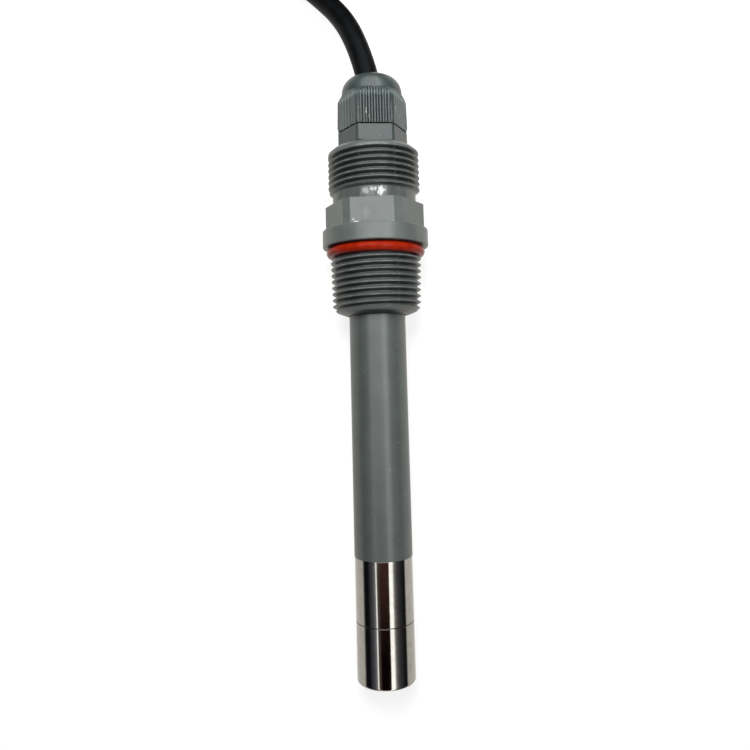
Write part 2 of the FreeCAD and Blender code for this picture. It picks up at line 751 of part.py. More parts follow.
upright = {
    "sensing_cap": sensing_cap(),
    "sensing_foil": sensing_foil(),
    "optical_window": optical_window(),
    "cap_gasket": cap_gasket(),
    "probe_head": probe_head(),
    "cap_o_ring": seal_in_groove(FRONT_SPIGOT_R, CAP_SEAL_HEIGHT),
    "tube_o_ring": seal_in_groove(REAR_SPIGOT_R, TUBE_SEAL_HEIGHT),
    "optics_holder": optics_holder(),
    "light_guide": light_guide(),
    "optical_filter": optical_filter(),
    "photodiode": photodiode(),
    "excitation_led": led(-LED_OFFSET),
    "reference_led": led(LED_OFFSET),
    "temperature_sensor": temperature_sensor(),
    "optics_board": disc(OPTICS_BOARD_OD / 2, HOLDER_END, OPTICS_BOARD_END),
    "board_connector": block(CONNECTOR_SIZE, 0, BOARD_FACE, OPTICS_BOARD_END),
    "main_board": main_board(),
    "microcontroller": on_board(CONTROLLER_SIZE, CONTROLLER_SHARE, -1),
    "bus_transceiver": on_board(TRANSCEIVER_SIZE, TRANSCEIVER_SHARE, -1),
    "power_regulator": on_board(REGULATOR_SIZE, REGULATOR_SHARE, -1),
    "board_components": board_components(),
    "inner_cores": inner_cores(),
    "potting_plug": potting_plug(),
    "sensor_tube": sensor_tube(),
    "threaded_fitting": threaded_fitting(),
    "flange_o_ring": flange_o_ring(),
    "gland_gasket": gland_gasket(),
    "gland_body": gland_body(),
    "gland_clamp_cage": gland_clamp_cage(),
    "gland_seal": gland_seal(),
    "gland_nut": gland_nut(),
    "cable_entry": cable_entry(),
}
for name, shape in upright.items():
    pieces[name] = lay_down(shape)

pieces["cable_run"] = cable_run()
pieces["cable_hank"] = cable_hank()
pieces["hank_tie_left"] = hank_tie(-1)
pieces["hank_tie_right"] = hank_tie(1)
pieces["cable_tail"] = cable_tail()
pieces["cable_end_sleeve"] = cable_end_sleeve()
for number, colour in enumerate(CORE_NAMES):
    pieces[colour + "_core"] = end_core(number)
    pieces[colour + "_ferrule"] = end_ferrule(number)

os.makedirs("parts", exist_ok=True)
for name, shape in pieces.items():
    shape.exportStep("parts/" + name + ".step")
print("lean, degrees:", round(degrees(LEAN), 3), "pieces:", len(pieces))
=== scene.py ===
import json
from math import acos, atan, cos, pi, radians, sin, sqrt, tan

import bmesh
import bpy
from mathutils import Matrix, Vector


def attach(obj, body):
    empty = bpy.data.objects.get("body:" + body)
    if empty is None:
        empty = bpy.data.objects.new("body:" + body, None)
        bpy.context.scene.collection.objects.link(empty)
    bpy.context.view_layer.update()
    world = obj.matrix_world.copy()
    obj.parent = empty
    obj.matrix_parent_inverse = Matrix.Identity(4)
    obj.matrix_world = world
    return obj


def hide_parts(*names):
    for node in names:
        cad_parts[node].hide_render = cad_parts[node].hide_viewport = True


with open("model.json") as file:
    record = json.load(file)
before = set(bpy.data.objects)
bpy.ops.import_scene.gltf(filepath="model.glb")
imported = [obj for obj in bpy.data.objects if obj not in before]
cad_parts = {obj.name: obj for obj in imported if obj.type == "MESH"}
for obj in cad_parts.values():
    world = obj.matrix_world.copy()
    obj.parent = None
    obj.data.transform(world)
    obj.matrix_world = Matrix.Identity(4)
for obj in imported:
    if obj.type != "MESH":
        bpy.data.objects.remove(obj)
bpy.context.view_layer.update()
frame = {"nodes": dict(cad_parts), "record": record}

# Optical dissolved oxygen sensor. Pieces are drawn upright in millimetres on the sensor's own
# axis, sensing face at height 0, and are then laid down into the frame in metres.

NODES = frame["nodes"]

# Sizes in millimetres
STEEL_R = 8.05
CAP_EDGE = 0.5
CAP_LENGTH = 15.6
CAP_LIP = 0.8
CAP_APERTURE_R = 4.2
CAP_BORE_R = 6.75
WINDOW_SEAT_R = 6.0
WINDOW_STACK = 2.3
CAP_SEAM = 0.2
BARREL_LENGTH = 17.0
BARREL_FACE = 4.0
BARREL_BORE_R = 5.1
BARREL_THREAD_R = 6.7
REAR_SPIGOT_R = 6.5
REAR_SPIGOT_LENGTH = 10.0
TUBE_R = 8.15
TUBE_BORE_R = 6.6
TUBE_SHOWN = 67.2
END_FACE_R = 11.6
END_FACE_SLOPE = 1.1
LOWER_THREAD_R = 13.335
LOWER_THREAD_LENGTH = 17.1
THREAD_TAPER = 1 / 16
THREAD_PITCH = 25.4 / 14
THREAD_DEPTH = 1.15
SEAT_RIM_R = 12.3
SEAT_R = 11.45
RING_SECTION = 2.95
RING_FIT = 0.05
FLANGE_R = 15.55
FLANGE_THICKNESS = 5.0
FLANGE_EDGE = 0.35
FITTING_HEX = 26.4
FITTING_HEX_CORNERS = 29.14
FITTING_HEX_LENGTH = 7.5
FITTING_TURN = -3.2
NECK_R = 12.3
NECK_LENGTH = 3.4
UPPER_R = 13.6
UPPER_THREAD_LENGTH = 13.5
UPPER_RIM_R = 12.25
GASKET_THICKNESS = 0.8
GLAND_HEX = 18.4
GLAND_HEX_CORNERS = 20.8
GLAND_HEX_LENGTH = 4.9
GLAND_TURN = 5.2
SOCKET_R = 6.6
SOCKET_FLOOR = 2.0
NUT_THREAD_R = 7.7
NUT_THREAD_LENGTH = 5.8
NUT_BORE_R = 7.8
NUT_GAP = 0.3
NUT_FLATS = 18.6
NUT_CORNERS = 21.2
NUT_SHOULDER = 9.2
NUT_SHOULDER_R = 10.4
NUT_CONE = 1.9
RIBS = 13
RIB_PITCH = 0.81
RIB_DEPTH = 0.45
DOME_R = 9.13
DOME_SKIRT = 0.8
DOME_ROUND = 5.0
MOUTH_R = 5.9
CABLE_R = 3.5

# Heights along the axis
HEAD_START = CAP_LENGTH + CAP_SEAM
TUBE_START = HEAD_START + BARREL_LENGTH
FITTING_START = TUBE_START + TUBE_SHOWN
END_FACE_TOP = FITTING_START + END_FACE_SLOPE
LOWER_FIRST_CREST = FITTING_START + 1.94
SEAT_START = FITTING_START + LOWER_THREAD_LENGTH
FLANGE_START = SEAT_START + RING_SECTION + RING_FIT
HEX_START = FLANGE_START + FLANGE_THICKNESS
NECK_START = HEX_START + FITTING_HEX_LENGTH
UPPER_START = NECK_START + NECK_LENGTH
UPPER_FIRST_CREST = UPPER_START + 1.15
FITTING_END = UPPER_START + UPPER_THREAD_LENGTH
UPPER_RUN_OUT = FITTING_END - 1.6
GLAND_HEX_START = FITTING_END + GASKET_THICKNESS
GLAND_HEX_END = GLAND_HEX_START + GLAND_HEX_LENGTH
SOCKET_START = GLAND_HEX_START + SOCKET_FLOOR
NUT_THREAD_END = GLAND_HEX_END + NUT_THREAD_LENGTH
NUT_START = GLAND_HEX_END + NUT_GAP
CONE_START = NUT_START + NUT_SHOULDER
DOME_START = CONE_START + NUT_CONE
DOME_CENTRE = DOME_START + DOME_SKIRT
DOME_RISE = sqrt(DOME_ROUND ** 2 - (MOUTH_R - DOME_R + DOME_ROUND) ** 2)
DOME_END = DOME_CENTRE + DOME_RISE

# How the sensor lies: on the edge of its cap and on the flange
FLANGE_TOUCH = 0.4
LEAN = atan((FLANGE_R - STEEL_R) / (FLANGE_START + FLANGE_TOUCH - CAP_EDGE))
AXIS_HEIGHT = STEEL_R * cos(LEAN) - CAP_EDGE * sin(LEAN)
AXIS_SHIFT = ((STEEL_R - CAP_EDGE) * sin(LEAN) - DOME_END * cos(LEAN) - MOUTH_R * sin(LEAN)) / 2
MM = 0.001
TIP = radians(90) - LEAN
AXIS_PLACE = Vector((0, AXIS_SHIFT, AXIS_HEIGHT)) * MM
LAY = Matrix.Translation(AXIS_PLACE) @ Matrix.Rotation(-TIP, 4, "X") @ Matrix.Scale(MM, 4)


def on_axis(height):
    """The place in the frame of a height on the sensor's axis."""
    return LAY @ Vector((0, 0, height))


# Camera

VIEW_TILT = radians(10.58)
VIEW_ROLL = radians(1.48)
VIEW_DISTANCE = 0.2056
VIEW_HEIGHT = 108.3
VIEW_ASIDE = -0.00047
PHOTO_WIDTH = 750
FOCAL_PIXELS = 700
SHIFT_PIXELS = -87
SENSOR_WIDTH = 36


def photograph_camera():
    """The camera fitted to the photograph, looking down on the sensor near its gland."""
    back = Vector((0, -sin(VIEW_TILT), cos(VIEW_TILT)))
    straight_up = Vector((0, cos(VIEW_TILT), sin(VIEW_TILT)))
    up = straight_up * cos(VIEW_ROLL) + Vector((1, 0, 0)) * sin(VIEW_ROLL)
    right = up.cross(back)
    camera = bpy.data.objects.new("camera", bpy.data.cameras.new("camera"))
    bpy.context.scene.collection.objects.link(camera)
    turn = Matrix((right, up, back)).transposed().to_4x4()
    place = on_axis(VIEW_HEIGHT) + back * VIEW_DISTANCE + Vector((VIEW_ASIDE, 0, 0))
    camera.matrix_world = Matrix.Translation(place) @ turn
    camera.data.sensor_fit = "HORIZONTAL"
    camera.data.sensor_width = SENSOR_WIDTH
    camera.data.lens = SENSOR_WIDTH * FOCAL_PIXELS / PHOTO_WIDTH
    camera.data.shift_y = SHIFT_PIXELS / PHOTO_WIDTH
    camera.data.clip_start = 0.01
    bpy.context.scene.camera = camera


photograph_camera()
bpy.context.scene.view_settings.view_transform = "Standard"


# Node graphs

class Term:
    """A value in a node graph, with arithmetic that adds Math nodes."""

    def __init__(self, graph, socket):
        self.graph = graph
        self.socket = socket

    def __add__(self, other): return self.graph.math("ADD", self, other)
    def __radd__(self, other): return self.graph.math("ADD", other, self)
    def __sub__(self, other): return self.graph.math("SUBTRACT", self, other)
    def __rsub__(self, other): return self.graph.math("SUBTRACT", other, self)
    def __mul__(self, other): return self.graph.math("MULTIPLY", self, other)
    def __rmul__(self, other): return self.graph.math("MULTIPLY", other, self)
    def __truediv__(self, other): return self.graph.math("DIVIDE", self, other)
    def __abs__(self): return self.graph.math("ABSOLUTE", self)
    def least(self, other): return self.graph.math("MINIMUM", self, other)
    def most(self, other): return self.graph.math("MAXIMUM", self, other)
    def whole(self): return self.graph.math("FLOOR", self)
    def part(self): return self.graph.math("FRACT", self)
    def sine(self): return self.graph.math("SINE", self)
    def cosine(self): return self.graph.math("COSINE", self)
    def angle_from(self, other): return self.graph.math("ARCTAN2", self, other)

    def spread(self, low, high, to_low=0.0, to_high=1.0, smooth=True):
        """Maps low..high to to_low..to_high and holds the ends."""
        kind = "SMOOTHSTEP" if smooth else "LINEAR"
        settings = {"interpolation_type": kind}
        values = {"Value": self, "From Min": low, "From Max": high,
                  "To Min": to_low, "To Max": to_high}
        return self.graph.term("ShaderNodeMapRange", settings, values)


class Graph:
    """A node tree with short ways to add and join nodes."""

    def __init__(self, tree):
        self.tree = tree

    def node(self, kind, settings=None, values=None):
        """Adds a node with its settings, and feeds its inputs."""
        made = self.tree.nodes.new(kind)
        for name, value in (settings or {}).items():
            if name == "stops":
                self.set_stops(made.color_ramp, value)
            else:
                setattr(made, name, value)
        for name, value in (values or {}).items():
            self.feed(made.inputs[name], value)
        return made

    def feed(self, socket, value):
        """Joins a term or socket to an input, or sets a plain value there."""
        if isinstance(value, Term):
            value = value.socket
        if isinstance(value, bpy.types.NodeSocket):
            self.tree.links.new(value, socket)
        else:
            socket.default_value = value

    def set_stops(self, ramp, stops):
        """Gives a colour ramp its places and colours."""
        while len(ramp.elements) < len(stops):
            ramp.elements.new(1.0)
        for element, (place, colour) in zip(ramp.elements, stops):
            element.position = place
            element.color = (*colour, 1)

    def term(self, kind, settings=None, values=None, output=0):
        """Adds a node and gives one of its outputs."""
        return Term(self, self.node(kind, settings, values).outputs[output])

    def math(self, operation, *operands):
        """Adds a Math node on one or two values."""
        made = self.node("ShaderNodeMath", {"operation": operation})
        for socket, value in zip(made.inputs, operands):
            self.feed(socket, value)
        return Term(self, made.outputs[0])

    def apart(self, vector):
        """The three parts of a vector."""
        made = self.node("ShaderNodeSeparateXYZ", None, {"Vector": vector})
        return [Term(self, socket) for socket in made.outputs]

    def together(self, x, y, z):
        """A vector from its three parts."""
        return self.term("ShaderNodeCombineXYZ", None, {"X": x, "Y": y, "Z": z})


class Shape(Graph):
    """A geometry tree with named inputs for its sizes."""

    def __init__(self, name, sizes):
        tree = bpy.data.node_groups.new(name, "GeometryNodeTree")
        super().__init__(tree)
        tree.interface.new_socket("Geometry", in_out="OUTPUT", socket_type="NodeSocketGeometry")
        self.kept = {}
        for label, value in sizes.items():
            kind = "NodeSocketInt" if isinstance(value, int) else "NodeSocketFloat"
            socket = tree.interface.new_socket(label, in_out="INPUT", socket_type=kind)
            self.kept[socket.identifier] = value
        made = self.node("NodeGroupInput")
        self.size = {label: Term(self, made.outputs[label]) for label in sizes}

    def finish(self, geometry, material):
        """Gives the geometry its material and makes it the tree's result."""
        real = self.term("GeometryNodeRealizeInstances", None, {"Geometry": geometry})
        painted = self.term("GeometryNodeSetMaterial", None, {"Geometry": real, "Material": material})
        self.node("NodeGroupOutput", None, {"Geometry": painted})
        return self

    def mesh(self):
        """The plain mesh that the tree makes."""
        holder = bpy.data.objects.new(self.tree.name, bpy.data.meshes.new(self.tree.name))
        bpy.context.scene.collection.objects.link(holder)
        modifier = holder.modifiers.new("shape", "NODES")
        modifier.node_group = self.tree
        for identifier, value in self.kept.items():
            modifier[identifier] = value
        bpy.context.view_layer.update()
        graph = bpy.context.evaluated_depsgraph_get()
        mesh = bpy.data.meshes.new_from_object(holder.evaluated_get(graph))
        holder.modifiers.clear()
        bpy.data.objects.remove(holder)
        return mesh


# Finishes

PLAIN_GRAIN = 900.0
PLAIN_RELIEF = 0.00001
RUN_OUT_FADE = 0.25
# Darkening factor of the painted shade in the thread grooves
GROOVE_SHADE_DARK = 0.16
DUST = (0.50, 0.51, 0.49)
RESIDUE = (0.80, 0.82, 0.80)
FITTING_GREY = (0.119, 0.136, 0.129)
TUBE_GREY = (0.085, 0.099, 0.093)
GLAND_GREY = (0.043, 0.058, 0.056)

# Dried residue and rubbed spots: place in mm, size across and along, amount
NUT_MARKS = [
    ((-1.8, -9.6, 158.9), (0.35, 1.6), 0.9),
    ((-1.0, -9.5, 157.6), (0.3, 1.2), 0.6),
    ((7.0, -6.6, 160.4), (0.45, 1.7), 0.9),
    ((7.6, -5.9, 158.6), (0.3, 1.0), 0.6),
    ((-7.4, -6.2, 160.2), (0.3, 1.0), 0.35),
]
BODY_MARKS = [
    ((1.9, -NECK_R, 134.5), (1.7, 1.9), 1.0),
    ((-0.2, -NECK_R, 135.0), (1.8, 0.9), 0.7),
    ((-2.6, -NECK_R, 134.4), (2.0, 1.5), 0.35),
    ((-6.1, -13.2, 126.0), (0.5, 1.2), 0.8),
    ((-5.2, -13.2, 125.5), (1.1, 0.4), 0.9),
    ((4.9, -13.2, 125.5), (0.6, 0.35), 0.3),
    ((-2.4, -13.2, 127.8), (1.5, 2.8), 0.05),
    ((-12.7, -5.4, 126.2), (0.8, 1.2), 0.7),
    ((12.4, -6.6, 126.0), (0.5, 0.5), 0.8),
]


class Finish(Graph):
    """A material with one Principled shader."""

    def __init__(self, name, **fixed):
        self.material = bpy.data.materials.new(name)
        self.material.use_nodes = True
        super().__init__(self.material.node_tree)
        self.shader = self.tree.nodes["Principled BSDF"]
        for socket, value in fixed.items():
            self.shader.inputs[socket.replace("_", " ")].default_value = value
        self.place = self.term("ShaderNodeTexCoord", output="Object")

    def upright(self):
        """Coordinates in millimetres on the sensor's own axis."""
        settings = {"vector_type": "TEXTURE"}
        values = {"Vector": self.place, "Location": AXIS_PLACE, "Rotation": (-TIP, 0, 0),
                  "Scale": (MM, MM, MM)}
        return self.term("ShaderNodeMapping", settings, values)

    def noise(self, vector, scale, detail=2.0, rough=0.5):
        """Soft cloudy values round 0.5."""
        values = {"Vector": vector, "Scale": scale, "Detail": detail, "Roughness": rough}
        return self.term("ShaderNodeTexNoise", None, values)

    def give(self, socket, value):
        """Feeds one of the shader's own inputs."""
        self.feed(self.shader.inputs[socket], value)

    def mix(self, share, low, high):
        """A colour between two, by a share from 0 to 1."""
        made = self.node("ShaderNodeMix", {"data_type": "RGBA"})
        for index, value in ((0, share), (6, low), (7, high)):
            if isinstance(value, tuple):
                value = (*value, 1)
            self.feed(made.inputs[index], value)
        return Term(self, made.outputs[2])

    def bump(self, height, strength, distance):
        """A fine relief in the shader's normal, its distance in metres."""
        values = {"Height": height, "Strength": strength, "Distance": distance}
        made = self.term("ShaderNodeBump", None, values)
        self.feed(self.shader.inputs["Normal"], made)


def shade(colour, factor):
    """A colour made darker or lighter."""
    return tuple(c * factor for c in colour)


def plain_finish(slot, colour, roughness, **fixed):
    """Moulded, cast or wound stuff with a faint mottle and grain."""
    made = Finish(slot, **fixed)
    mottle = made.noise(made.place, PLAIN_GRAIN / 6, 3.0)
    made.give("Base Color", made.mix(mottle.spread(0.3, 0.7), shade(colour, 0.86), shade(colour, 1.12)))
    made.give("Roughness", mottle.spread(0.2, 0.8, roughness - 0.06, roughness + 0.06))
    made.bump(made.noise(made.place, PLAIN_GRAIN, 2.0), 0.3, PLAIN_RELIEF)
    return made.material


def blot(made, spot, place, size):
    """A ragged, streaky mark round a place in the upright frame, with its size across and along."""
    across, along = size
    offset = made.term("ShaderNodeVectorMath", {"operation": "SUBTRACT"}, {0: spot, 1: place})
    x, y, h = made.apart(offset)
    reach = (x * x + y * y) / (across * across) + h * h / (along * along)
    streaks = made.term("ShaderNodeMapping", None, {"Vector": spot, "Scale": (1.8, 1.8, 0.7)})
    ragged = made.noise(streaks, 1.0, 5.0, 0.8)
    return (ragged - reach * 0.30).spread(0.30, 0.52)


def groove_shade_and_crest(x, y, h, crest, low, high, run_out):
    """Painted shade in a thread's groove, darkest on the side toward the sensing end, and where its crest is.

    The thread's crest lies at the height crest where the turn is 0. The painted shade keeps between the
    heights low and high, and ends where the groove runs out.
    """
    turn = (y.angle_from(x) / (2 * pi)).part()
    wound = (h - crest) / THREAD_PITCH - turn
    wave = wound.part()
    groove = crest + THREAD_PITCH * (wound.whole() + turn + 0.5)
    lit_side = wave.spread(0.04, 0.46, 0.0, 0.55) + wave.spread(0.46, 0.56, 0.0, 0.45)
    dark = lit_side.least(wave.spread(0.80, 0.97, 1.0, 0.0))
    dark = dark * h.spread(low, low + 0.5) * (1.0 - h.spread(high - 0.5, high))
    # The crest mask, where a painted highlight goes
    edge = (wave.spread(0.95, 0.99) + 1.0 - wave.spread(0.01, 0.06)) * h.spread(low, low + 0.5)
    return dark * (1.0 - groove.spread(run_out - RUN_OUT_FADE, run_out)), edge


def rib_gap_shade(made, x, y, h):
    """Painted shade between the nut's ribs: 1 at the gap's floor."""
    side = ((y.angle_from(x) + (pi / 2 - radians(GLAND_TURN))) / (pi / 3) + 0.5).part() - 0.5
    along = made.math("TANGENT", side * (pi / 3)) * (NUT_FLATS / 2)
    gap = 1.0 - abs((along / RIB_PITCH + (RIBS - 1) / 2).part() - 0.5) * 2.0
    half_row = RIBS * RIB_PITCH / 2
    inside = gap.spread(0.45, 0.85) * (1.0 - abs(along).spread(half_row - 0.3, half_row))
    below_cone = 1.0 - h.spread(CONE_START - 0.2, CONE_START + 0.6)
    return inside * h.spread(NUT_START, NUT_START + 0.3) * below_cone


def grey_moulding(slot, colour, roughness, groove=None, marks=(), seam=None, ribs=False, neck=False):
    """Satin grey plastic with a faint mottle, handling marks and pale dust in places.

    A groove adds painted shade in a thread's groove, a painted highlight along its crests and painted
    shade on the fitting's end face, and seam is the angle of its mould line. With ribs the nut gets
    painted shade between its ribs and lighter upper rib ends, and with neck the neck gets painted shade
    and painted reflection in streaks, less toward its right side.
    """
    made = Finish(slot, Specular_IOR_Level=0.62)
    spot = made.upright()
    x, y, h = made.apart(spot)
    broad = made.noise(spot, 0.16, 3.0).spread(0.3, 0.7)
    fine = made.noise(spot, 2.4, 4.0, 0.65).spread(0.25, 0.75)
    body = made.mix(broad, shade(colour, 0.92), shade(colour, 1.08))
    body = made.mix(fine * 0.20, body, shade(colour, 1.18))
    long = made.term("ShaderNodeMapping", None, {"Vector": spot, "Scale": (4.0, 4.0, 0.5)})
    scuff = made.noise(long, 0.9, 5.0, 0.7).spread(0.63, 0.80)
    body = made.mix(scuff * 0.25, body, shade(colour, 1.6))
    if groove:
        # Painted shade in the thread grooves, darkest on the flanks facing the sensing end
        groove_shade, edge = groove_shade_and_crest(x, y, h, *groove)
        body = made.mix(groove_shade, body, shade(colour, GROOVE_SHADE_DARK))
        # Painted highlight along the thread crests, broken up by noise
        crest_glint = made.noise(spot, 0.5, 4.0, 0.7).spread(0.46, 0.62)
        body = made.mix(edge * crest_glint * 0.8, body, shade(colour, 3.2))
        # Painted shade on the fitting's end face, which faces away from the lamp
        end_face_shade = 1.0 - h.spread(FITTING_START + 0.7, FITTING_START + 1.3)
        body = made.mix(end_face_shade * 0.9, body, shade(colour, 0.08))
    if ribs:
        # Painted shade between the nut's ribs
        body = made.mix(rib_gap_shade(made, x, y, h) * 0.6, body, shade(colour, 0.2))
        # The ribs' upper ends are made lighter
        pale_rib_tops = h.spread(CONE_START - 1.2, CONE_START - 0.1)
        pale_rib_tops = pale_rib_tops * (1.0 - h.spread(CONE_START + 0.3, CONE_START + 1.0))
        body = made.mix(pale_rib_tops * fine * 0.8, body, shade(colour, 3.6))
    if neck:
        # Painted shade and painted reflection on the neck in streaks along the axis, less on its right side
        shaft = made.term("ShaderNodeMapping", None, {"Vector": spot, "Scale": (1.0, 1.0, 0.06)})
        neck_shade_streak = made.noise(shaft, 0.42, 3.0, 0.7).spread(0.38, 0.62, 0.35, 0.95)
        shaded = h.spread(NECK_START - 0.05, NECK_START + 0.1)
        lit = 1.0 - x.spread(3.0, 9.0) * 0.45
        body = made.mix(neck_shade_streak * shaded * lit, body, shade(colour, 0.42))
    if seam is not None:
        turned = abs(y.angle_from(x) - radians(seam))
        body = made.mix((1.0 - turned.spread(0.004, 0.014)) * 0.35, body, shade(colour, 1.9))
    speck = made.noise(spot, 1.5, 1.0, 0.4).spread(0.765, 0.785)
    body = made.mix(speck * 0.45, body, DUST)
    for place, size, amount in marks:
        body = made.mix(blot(made, spot, place, size) * amount, body, RESIDUE)
    made.give("Base Color", body)
    made.give("Roughness", fine * 0.06 + scuff * 0.12 + (roughness - 0.03))
    made.bump(made.noise(spot, 1.2, 2.0, 0.5), 0.05, 0.00002)
    return made.material


def polished_steel():
    """Turned and mirror polished stainless steel, with faint lathe marks and fingermarks."""
    made = Finish("polished_steel", Metallic=1.0)
    spot = made.upright()
    smear = made.noise(spot, 0.35, 4.0, 0.6)
    rings = made.term("ShaderNodeMapping", None, {"Vector": spot, "Scale": (0.4, 0.4, 14.0)})
    marks = made.noise(rings, 1.0, 3.0)
    body = made.mix(smear.spread(0.35, 0.7), (0.385, 0.376, 0.352), (0.43, 0.420, 0.396))
    stain = made.noise(spot, 0.55, 5.0, 0.7).spread(0.50, 0.66)
    made.give("Base Color", made.mix(stain * 0.5, body, (0.33, 0.29, 0.245)))
    made.give("Roughness", smear.spread(0.35, 0.8, 0.04, 0.09) + marks.spread(0.3, 0.8, 0.0, 0.03))
    made.bump(marks, 0.12, 0.00001)
    return made.material


def red_silicone():
    """Glossy orange red silicone rubber with a faint mottle."""
    made = Finish("red_silicone", Specular_IOR_Level=0.12)
    spot = made.upright()
    mottle = made.noise(spot, 0.5, 3.0).spread(0.3, 0.7)
    made.give("Base Color", made.mix(mottle, (0.31, 0.012, 0.002), (0.39, 0.019, 0.003)))
    made.give("Roughness", made.noise(spot, 1.2, 2.0).spread(0.3, 0.8, 0.18, 0.28))
    made.bump(made.noise(spot, 1.2, 2.0), 0.1, 0.00002)
    return made.material


def cable_jacket():
    """Smooth black cable sheath with a soft sheen and fine drawn lines."""
    made = Finish("cable_jacket", Specular_IOR_Level=0.07)
    mottle = made.noise(made.place, 160.0, 4.0, 0.6)
    body = made.mix(mottle.spread(0.3, 0.7), (0.0026, 0.0030, 0.0036), (0.0052, 0.0058, 0.0068))
    made.give("Base Color", body)
    made.give("Roughness", mottle.spread(0.25, 0.8, 0.34, 0.50))
    made.bump(made.noise(made.place, 900.0, 3.0, 0.6), 0.25, 0.00002)
    return made.material


def clear_acrylic():
    """Clear polished plastic of the window and the light guide."""
    made = Finish("clear_acrylic", Transmission_Weight=1.0, IOR=1.49)
    made.give("Roughness", made.noise(made.place, 300.0).spread(0.3, 0.8, 0.02, 0.07))
    cloud = made.noise(made.place, 90.0).spread(0.3, 0.7)
    made.give("Base Color", made.mix(cloud, (0.86, 0.90, 0.92), (0.93, 0.95, 0.96)))
    return made.material


def circuit_board():
    """Green solder mask with lighter copper tracks under it."""
    made = Finish("circuit_board", Specular_IOR_Level=0.5)
    spot = made.upright()
    across = made.apart(spot)[0]
    bent = (across + made.noise(spot, 0.25) * 3.0) * 1.6
    tracks = abs(bent.part() - 0.5).spread(0.18, 0.26)
    made.give("Base Color", made.mix(tracks, (0.016, 0.115, 0.045), (0.030, 0.190, 0.075)))
    made.give("Roughness", tracks.spread(0.0, 1.0, 0.34, 0.26))
    made.bump(tracks, 0.2, 0.00003)
    return made.material


LOWER_GROOVE = (LOWER_FIRST_CREST, FITTING_START + 1.6, SEAT_START + 0.4, FLANGE_START)
UPPER_GROOVE = (UPPER_FIRST_CREST, UPPER_START, FITTING_END - 0.6, UPPER_RUN_OUT)
THREAD_GREY = shade(FITTING_GREY, 0.97)
NUT_GREY = shade(GLAND_GREY, 1.2)

FINISHES = {
    "fitting_plastic": grey_moulding("fitting_plastic", FITTING_GREY, 0.34),
    "fitting_body": grey_moulding("fitting_body", FITTING_GREY, 0.33, marks=BODY_MARKS, neck=True),
    "lower_thread": grey_moulding("lower_thread", THREAD_GREY, 0.34, groove=LOWER_GROOVE, seam=-60),
    "upper_thread": grey_moulding("upper_thread", THREAD_GREY, 0.34, groove=UPPER_GROOVE, seam=-62),
    "tube_plastic": grey_moulding("tube_plastic", TUBE_GREY, 0.31),
    "gland_plastic": grey_moulding("gland_plastic", GLAND_GREY, 0.32),
    "nut_plastic": grey_moulding("nut_plastic", NUT_GREY, 0.31, marks=NUT_MARKS, ribs=True),
    "polished_steel": polished_steel(),
    "red_silicone": red_silicone(),
    "cable_jacket": cable_jacket(),
    "clear_acrylic": clear_acrylic(),
    "circuit_board": circuit_board(),
    "black_rubber": plain_finish("black_rubber", (0.020, 0.020, 0.020), 0.55),
    "tie_plastic": plain_finish("tie_plastic", (0.020, 0.020, 0.022), 0.38),
    "sleeve_plastic": plain_finish("sleeve_plastic", (0.013, 0.013, 0.014), 0.48),
    "optics_black": plain_finish("optics_black", (0.016, 0.016, 0.017), 0.60),
    "foil_coating": plain_finish("foil_coating", (0.045, 0.012, 0.014), 0.55),
    "filter_glass": plain_finish("filter_glass", (0.450, 0.030, 0.020), 0.12),
    "blue_lens": plain_finish("blue_lens", (0.050, 0.150, 0.700), 0.15),
    "red_lens": plain_finish("red_lens", (0.600, 0.040, 0.030), 0.15),
    "bead_glass": plain_finish("bead_glass", (0.050, 0.040, 0.030), 0.20),
    "detector_metal": plain_finish("detector_metal", (0.500, 0.490, 0.450), 0.30, Metallic=1.0),
    "chip_black": plain_finish("chip_black", (0.022, 0.022, 0.023), 0.45),
    "potting_resin": plain_finish("potting_resin", (0.028, 0.028, 0.030), 0.25),
    "core_colours": plain_finish("core_colours", (0.300, 0.290, 0.270), 0.38),
    "brown_insulation": plain_finish("brown_insulation", (0.130, 0.050, 0.020), 0.35),
    "blue_insulation": plain_finish("blue_insulation", (0.020, 0.080, 0.350), 0.35),
    "black_insulation": plain_finish("black_insulation", (0.015, 0.015, 0.015), 0.35),
    "yellow_insulation": plain_finish("yellow_insulation", (0.700, 0.500, 0.030), 0.35),
    "tinned_copper": plain_finish("tinned_copper", (0.600, 0.600, 0.580), 0.28, Metallic=1.0),
}

for entry in frame["record"]["subparts"]:
    shown = NODES[entry["node"]]
    if not shown.data.materials:
        shown.data.materials.append(None)
    for place in shown.material_slots:
        place.material = FINISHES[entry["material_slot"]]


# Shells

FLAT_HOLD = 0.03
ROUND_STEPS = 5
AROUND = 192
LAP = 0.02


def rounded(corners):
    """A profile of (radius, height[, rounding]) corners with its corners rounded off.

    A point just beyond each rounding keeps the shading of the flat beside it even.
    """
    line = []
    for index, corner in enumerate(corners):
        here = Vector(corner[:2])
        size = corner[2] if len(corner) > 2 else 0
        if not size or index in (0, len(corners) - 1):
            line.append(here)
            continue
        before = (Vector(corners[index - 1][:2]) - here).normalized()
        after = (Vector(corners[index + 1][:2]) - here).normalized()
        half = acos(max(-1, min(1, before.dot(after)))) / 2
        reach = size / tan(half)
        middle = here + (before + after).normalized() * (size / sin(half))
        start = here + before * reach - middle
        turn = start.angle_signed(here + after * reach - middle)
        line.append(here + before * (reach + FLAT_HOLD))
        for step in range(ROUND_STEPS + 1):
            line.append(middle + Matrix.Rotation(-turn * step / ROUND_STEPS, 2) @ start)
        line.append(here + after * (reach + FLAT_HOLD))
    return line


